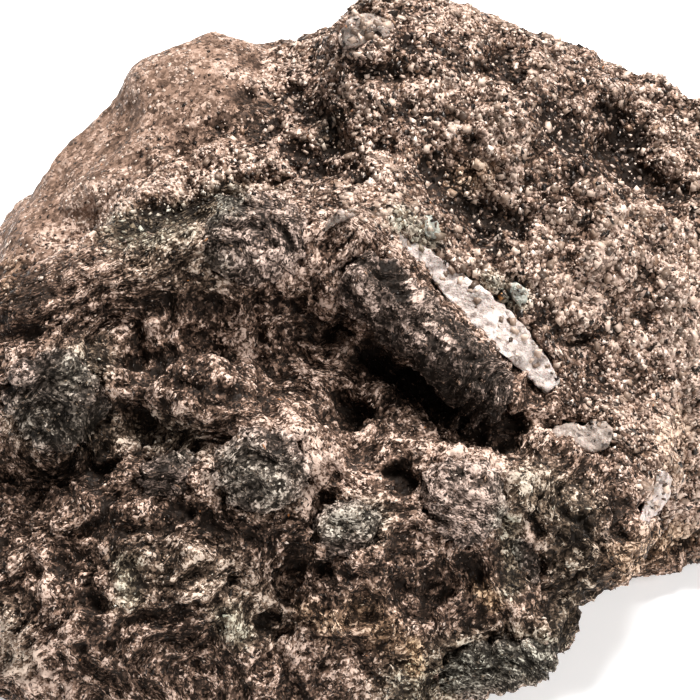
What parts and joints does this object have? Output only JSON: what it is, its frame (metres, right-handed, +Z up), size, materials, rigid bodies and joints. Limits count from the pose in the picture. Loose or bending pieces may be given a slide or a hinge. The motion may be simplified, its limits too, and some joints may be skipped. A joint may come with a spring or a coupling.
{
  "type": "alexandrite in mica schist",
  "caption": "Rough hand specimen of dark mica schist with blocky alexandrite crystals, a pale quartz vein and small green grains.",
  "frame": {"origin": "middle of the specimen's plan, on the surface that it rests on", "axes": "+X along the specimen's length, to the right as the show face is seen; +Y away from the viewer; +Z up, and the show face leans back 35 degrees"},
  "size_m": [0.0906, 0.079, 0.0521],
  "materials": {
    "schist": "rough split mica schist with glinting flakes",
    "alexandrite": "worn dark green crystal faces, half coated with mica",
    "quartz": "weathered milky quartz",
    "green_grain": "pale green translucent grain"
  },
  "bodies": {
    "root": {"schist_matrix": "schist", "alexandrite_shoulder": "alexandrite", "alexandrite_left": "alexandrite", "alexandrite_middle": "alexandrite", "alexandrite_right": "alexandrite", "alexandrite_low": "alexandrite", "alexandrite_slab": "alexandrite", "alexandrite_blade": "alexandrite", "alexandrite_foot": "alexandrite", "alexandrite_long": "alexandrite", "quartz_vein": "quartz", "quartz_stringer": "quartz", "quartz_bleb": "quartz", "quartz_rim": "quartz", "quartz_peak": "quartz", "green_grain_upper": "green_grain", "green_grain_lower": "green_grain"}
  },
  "joints": []
}
